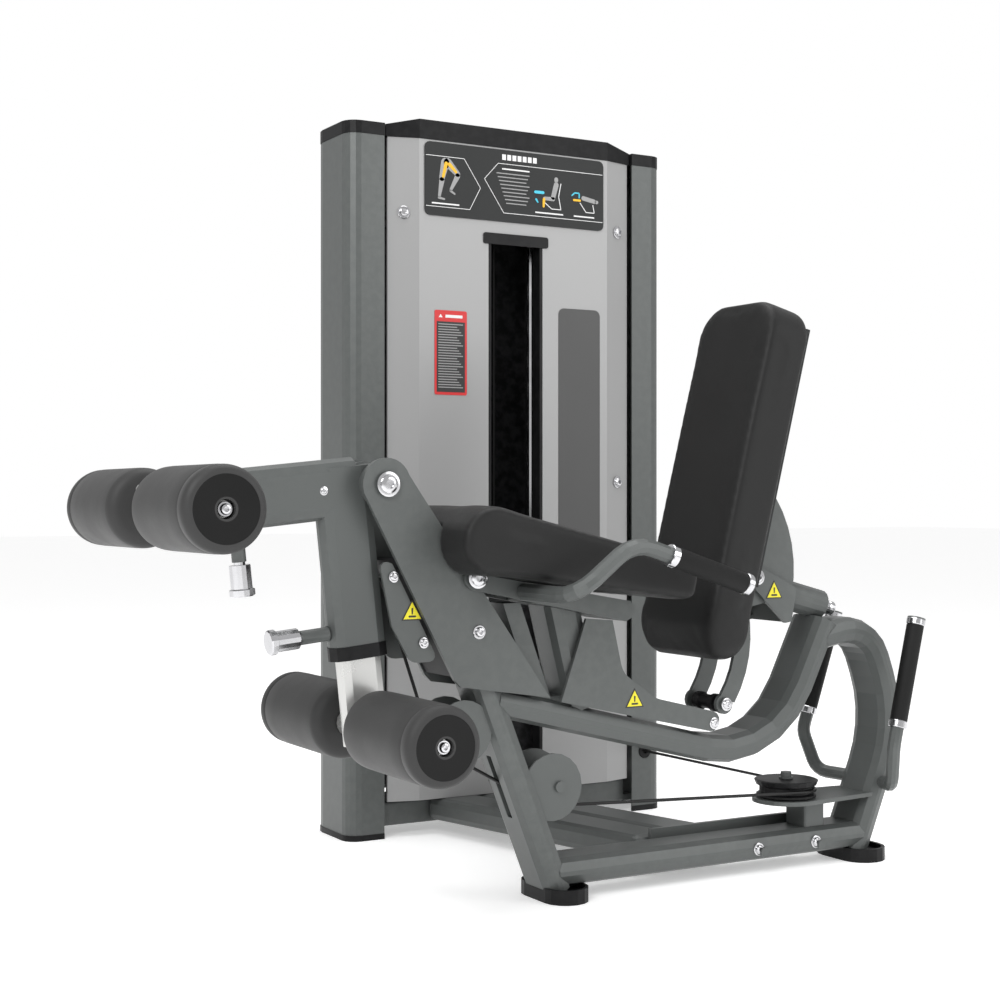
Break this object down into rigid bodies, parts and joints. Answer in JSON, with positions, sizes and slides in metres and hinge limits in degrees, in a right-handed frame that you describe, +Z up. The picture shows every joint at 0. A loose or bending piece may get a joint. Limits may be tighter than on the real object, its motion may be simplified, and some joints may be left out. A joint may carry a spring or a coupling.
{
  "type": "selectorized leg machine",
  "caption": "Seated leg machine: reclining back pad, seat and a swinging roller arm that lifts a weight stack by cable.",
  "frame": {"origin": "bottom centre of the machine's bounding box, on the floor", "axes": "+X from the foot rollers towards the back pad, +Y from the seat towards the weight tower, +Z up"},
  "size_m": [1.5896, 1.091, 1.515],
  "materials": {
    "frame_paint": "satin dark grey powder coat",
    "panel_paint": "silver grey paint",
    "vinyl": "black upholstery vinyl",
    "roller_foam": "dark grey skinned foam",
    "black_plastic": "fine matt black",
    "dark_sheet": "dark grey printed sheet",
    "chrome": "polished",
    "steel": "bright plated tube",
    "black_iron": "black painted iron",
    "cable": "black nylon jacket"
  },
  "bodies": {
    "frame": {"arm_pivot_axle": "chrome", "back_housing": "frame_paint", "cable_guard": "frame_paint", "drive_cable": "cable", "floor_beams": "frame_paint", "front_foot": "black_plastic", "front_leg": "frame_paint", "front_panel": "panel_paint", "guide_rod_left": "chrome", "guide_rod_right": "chrome", "lower_rail": "frame_paint", "main_beam": "frame_paint", "pivot_plate_far": "frame_paint", "pivot_plate_near": "frame_paint", "placard": "dark_sheet", "pulley_bracket": "frame_paint", "rear_foot": "black_plastic", "rear_handle_far": "frame_paint", "rear_handle_near": "frame_paint", "rear_leg": "frame_paint", "rear_panel": "panel_paint", "resting_plates": "black_iron", "seat_frame": "frame_paint", "seat_pad": "vinyl", "seat_post": "frame_paint", "side_handle_far": "frame_paint", "side_handle_near": "frame_paint", "stack_cable": "cable", "strut_cover": "black_plastic", "tail_plate": "frame_paint", "top_beam": "frame_paint", "tower_base": "frame_paint", "tower_cap": "black_plastic", "tower_column_left": "frame_paint", "tower_column_right": "frame_paint"},
    "leg_arm": {"leg_arm": "frame_paint", "arm_collar": "black_plastic"},
    "upper_carriage": {"upper_carriage": "steel"},
    "lower_carriage": {"lower_carriage": "steel"},
    "upper_roller_near": {"upper_roller_near": "roller_foam"},
    "upper_roller_far": {"upper_roller_far": "roller_foam"},
    "lower_roller_near": {"lower_roller_near": "roller_foam"},
    "lower_roller_far": {"lower_roller_far": "roller_foam"},
    "upper_pull_pin": {"upper_pull_pin": "chrome"},
    "lower_pull_pin": {"lower_pull_pin": "chrome"},
    "backrest": {"back_pad": "vinyl", "back_board": "dark_sheet", "back_carrier": "frame_paint", "stop_spool": "black_plastic"},
    "back_pull_pin": {"back_pull_pin": "chrome"},
    "weights": {"lifted_plates": "black_iron", "top_plate": "black_iron"},
    "selector_pin": {"selector_pin": "chrome"},
    "front_pulley": {"front_pulley": "black_plastic"},
    "rear_pulley": {"rear_pulley": "black_plastic"},
    "swivel_pulley": {"swivel_pulley": "black_plastic"},
    "tower_pulley_left": {"tower_pulley_left": "black_plastic"},
    "tower_pulley_right": {"tower_pulley_right": "black_plastic"},
    "tower_pulley_foot": {"tower_pulley_foot": "black_plastic"}
  },
  "joints": [
    {"name": "leg_arm_swing", "type": "hinge", "parent": "frame", "child": "leg_arm", "pos_m": [-0.35882, -0.2455, 0.736], "axis": [0, 1, 0], "range_deg": [0, 95]},
    {"name": "upper_carriage_slide", "type": "slide", "parent": "leg_arm", "child": "upper_carriage", "axis": [-0.9945, 0, -0.1045], "range_m": [0, 0.08]},
    {"name": "lower_carriage_slide", "type": "slide", "parent": "leg_arm", "child": "lower_carriage", "axis": [0.1045, 0, -0.9945], "range_m": [0, 0.08]},
    {"name": "backrest_recline", "type": "hinge", "parent": "frame", "child": "backrest", "pos_m": [0.41418, -0.2455, 0.565], "axis": [0, 1, 0], "range_deg": [0, 30]},
    {"name": "stack_lift", "type": "slide", "parent": "frame", "child": "weights", "axis": [0, 0, 1], "range_m": [0, 0.18], "deforming": ["stack_cable"]},
    {"name": "selector_pin_pull", "type": "slide", "parent": "weights", "child": "selector_pin", "axis": [0, -1, 0], "range_m": [0, 0.05]},
    {"name": "upper_pin_pull", "type": "slide", "parent": "leg_arm", "child": "upper_pull_pin", "axis": [0.1045, 0, -0.9945], "range_m": [0, 0.012], "stiffness_N_per_m": 900},
    {"name": "lower_pin_pull", "type": "slide", "parent": "leg_arm", "child": "lower_pull_pin", "axis": [-0.9945, 0, -0.1045], "range_m": [0, 0.012], "stiffness_N_per_m": 900},
    {"name": "back_pin_pull", "type": "slide", "parent": "frame", "child": "back_pull_pin", "axis": [0.9678, 0, -0.2516], "range_m": [0, 0.01], "stiffness_N_per_m": 900},
    {"name": "upper_roller_near_spin", "type": "hinge", "parent": "upper_carriage", "child": "upper_roller_near", "pos_m": [-0.72982, -0.2455, 0.697], "axis": [0, 1, 0], "continuous": true},
    {"name": "lower_roller_near_spin", "type": "hinge", "parent": "lower_carriage", "child": "lower_roller_near", "pos_m": [-0.37732, -0.2455, 0.332], "axis": [0, 1, 0], "continuous": true},
    {"name": "upper_roller_far_spin", "type": "hinge", "parent": "upper_carriage", "child": "upper_roller_far", "pos_m": [-0.72982, -0.2455, 0.697], "axis": [0, 1, 0], "continuous": true},
    {"name": "lower_roller_far_spin", "type": "hinge", "parent": "lower_carriage", "child": "lower_roller_far", "pos_m": [-0.37732, -0.2455, 0.332], "axis": [0, 1, 0], "continuous": true},
    {"name": "front_pulley_spin", "type": "hinge", "parent": "frame", "child": "front_pulley", "pos_m": [-0.21082, -0.2455, 0.315], "axis": [0, 1, 0], "continuous": true},
    {"name": "rear_pulley_spin", "type": "hinge", "parent": "frame", "child": "rear_pulley", "pos_m": [-0.00982, -0.2455, 0.203], "axis": [0, 1, 0], "continuous": true},
    {"name": "swivel_pulley_spin", "type": "hinge", "parent": "frame", "child": "swivel_pulley", "pos_m": [0.53418, -0.2455, 0.148], "axis": [0, 0, 1], "continuous": true},
    {"name": "tower_pulley_left_spin", "type": "hinge", "parent": "frame", "child": "tower_pulley_left", "pos_m": [0.31648, 0.4515, 1.385], "axis": [0, 1, 0], "continuous": true},
    {"name": "tower_pulley_right_spin", "type": "hinge", "parent": "frame", "child": "tower_pulley_right", "pos_m": [0.58638, 0.4515, 1.385], "axis": [0, 1, 0], "continuous": true},
    {"name": "tower_pulley_foot_spin", "type": "hinge", "parent": "frame", "child": "tower_pulley_foot", "pos_m": [0.62618, 0.4117, 0.175], "axis": [1, 0, 0], "continuous": true}
  ],
  "couplings": [
    {"joint": "stack_lift", "follows": "leg_arm_swing", "m_per_rad": 0.1},
    {"joint": "front_pulley_spin", "follows": "leg_arm_swing", "ratio": 2.7778},
    {"joint": "rear_pulley_spin", "follows": "leg_arm_swing", "ratio": 2.7778},
    {"joint": "swivel_pulley_spin", "follows": "leg_arm_swing", "ratio": -1.9231},
    {"joint": "tower_pulley_left_spin", "follows": "leg_arm_swing", "ratio": 2.7778},
    {"joint": "tower_pulley_right_spin", "follows": "leg_arm_swing", "ratio": 2.7778},
    {"joint": "tower_pulley_foot_spin", "follows": "leg_arm_swing", "ratio": -2.7778}
  ]
}
